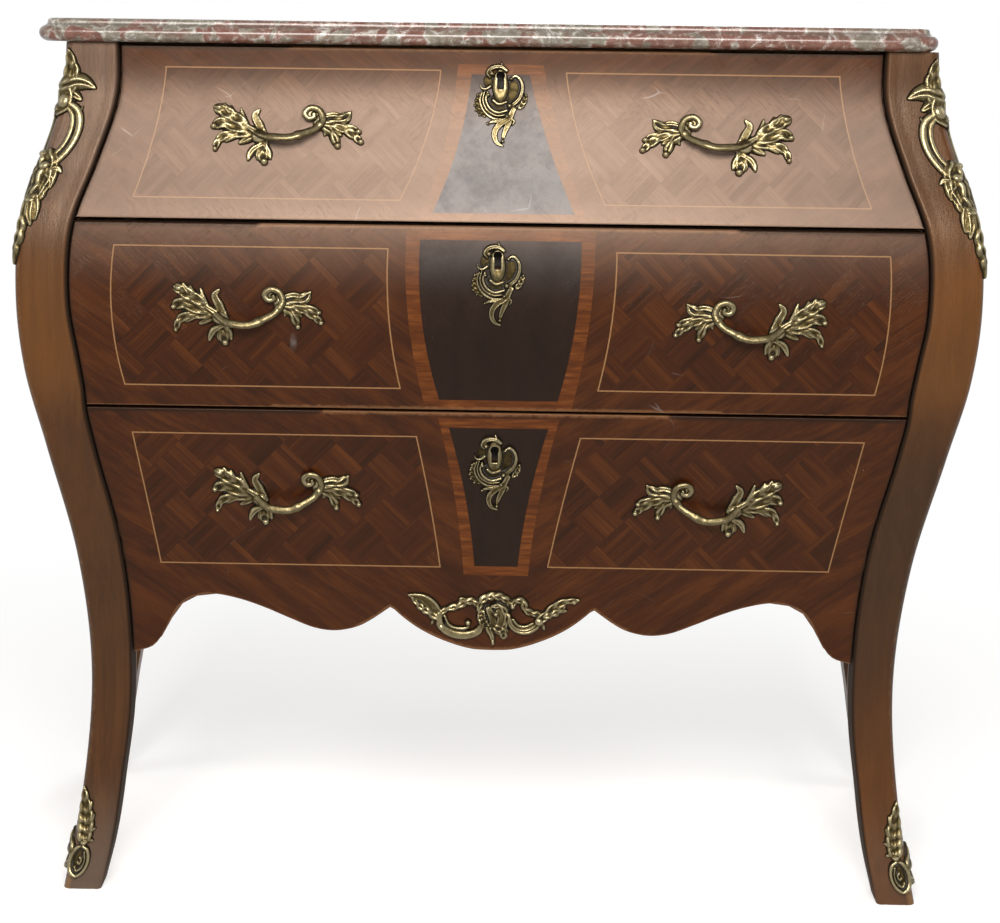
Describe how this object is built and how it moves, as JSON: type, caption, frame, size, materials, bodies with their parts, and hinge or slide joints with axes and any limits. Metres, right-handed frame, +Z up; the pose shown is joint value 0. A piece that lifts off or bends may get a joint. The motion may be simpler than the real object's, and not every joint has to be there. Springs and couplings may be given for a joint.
{
  "type": "commode chest",
  "caption": "Bombe commode chest: moulded marble top, swelling drawers that slide and lock, scalloped apron, cabriole legs and cast brass handles, escutcheons and mounts.",
  "frame": {"origin": "middle of the footprint, on the floor", "axes": "+Z up, +X to the right as seen from the front, and the drawers open towards -Y"},
  "size_m": [1.0154, 0.4572, 0.86],
  "materials": {
    "walnut_veneer": "orange-brown straight-grained veneer, wax polished, edges rubbed lighter",
    "drawer_marquetry": "red-brown kingwood veneer with lattice panels, light stringing, tulipwood banding and dark shaped cartouches, polished",
    "inner_wood": "plain planed beech and oak, dry and slightly dusty",
    "aged_brass": "cast, chased and aged: pale gold high spots and dark brown recesses",
    "lock_steel": "dull dark steel",
    "lock_brass": "plain drawn brass, slightly tarnished",
    "marble": "polished breccia, mottled red-brown, grey-green and white"
  },
  "bodies": {
    "carcase": {"left_front_leg": "walnut_veneer", "right_front_leg": "walnut_veneer", "left_back_leg": "walnut_veneer", "right_back_leg": "walnut_veneer", "left_side_panel": "walnut_veneer", "right_side_panel": "walnut_veneer", "sub_top": "inner_wood", "upper_divider": "inner_wood", "lower_divider": "inner_wood", "bottom_front_rail": "inner_wood", "bottom_board": "inner_wood", "back_panel": "inner_wood", "back_top_rail": "inner_wood", "back_bottom_rail": "inner_wood", "marble_top": "marble", "left_corner_mount": "aged_brass", "right_corner_mount": "aged_brass", "left_foot_mount": "aged_brass", "right_foot_mount": "aged_brass", "left_top_runner": "inner_wood", "right_top_runner": "inner_wood", "left_middle_runner": "inner_wood", "right_middle_runner": "inner_wood", "left_bottom_runner": "inner_wood", "right_bottom_runner": "inner_wood"},
    "top_drawer": {"top_drawer_front": "drawer_marquetry", "top_drawer_left_side": "inner_wood", "top_drawer_right_side": "inner_wood", "top_drawer_bottom": "inner_wood", "top_drawer_back": "inner_wood", "top_drawer_left_handle": "aged_brass", "top_drawer_right_handle": "aged_brass", "top_drawer_escutcheon": "aged_brass", "top_drawer_lock_case": "lock_steel"},
    "middle_drawer": {"middle_drawer_front": "drawer_marquetry", "middle_drawer_left_side": "inner_wood", "middle_drawer_right_side": "inner_wood", "middle_drawer_bottom": "inner_wood", "middle_drawer_back": "inner_wood", "middle_drawer_left_handle": "aged_brass", "middle_drawer_right_handle": "aged_brass", "middle_drawer_escutcheon": "aged_brass", "middle_drawer_lock_case": "lock_steel"},
    "bottom_drawer": {"bottom_drawer_front": "drawer_marquetry", "bottom_drawer_left_side": "inner_wood", "bottom_drawer_right_side": "inner_wood", "bottom_drawer_bottom": "inner_wood", "bottom_drawer_back": "inner_wood", "bottom_drawer_left_handle": "aged_brass", "bottom_drawer_right_handle": "aged_brass", "bottom_drawer_escutcheon": "aged_brass", "bottom_drawer_lock_case": "lock_steel", "apron_mount": "aged_brass"},
    "top_lock_bolt": {"top_drawer_lock_bolt": "lock_brass"},
    "middle_lock_bolt": {"middle_drawer_lock_bolt": "lock_brass"},
    "bottom_lock_bolt": {"bottom_drawer_lock_bolt": "lock_brass"}
  },
  "joints": [
    {"name": "top_drawer_slide", "type": "slide", "parent": "carcase", "child": "top_drawer", "axis": [0, -1, 0], "range_m": [0, 0.28]},
    {"name": "middle_drawer_slide", "type": "slide", "parent": "carcase", "child": "middle_drawer", "axis": [0, -1, 0], "range_m": [0, 0.28]},
    {"name": "bottom_drawer_slide", "type": "slide", "parent": "carcase", "child": "bottom_drawer", "axis": [0, -1, 0], "range_m": [0, 0.28]},
    {"name": "top_bolt_slide", "type": "slide", "parent": "top_drawer", "child": "top_lock_bolt", "axis": [0, 0, 1], "range_m": [0, 0.007]},
    {"name": "middle_bolt_slide", "type": "slide", "parent": "middle_drawer", "child": "middle_lock_bolt", "axis": [0, 0, 1], "range_m": [0, 0.007]},
    {"name": "bottom_bolt_slide", "type": "slide", "parent": "bottom_drawer", "child": "bottom_lock_bolt", "axis": [0, 0, 1], "range_m": [0, 0.007]}
  ]
}
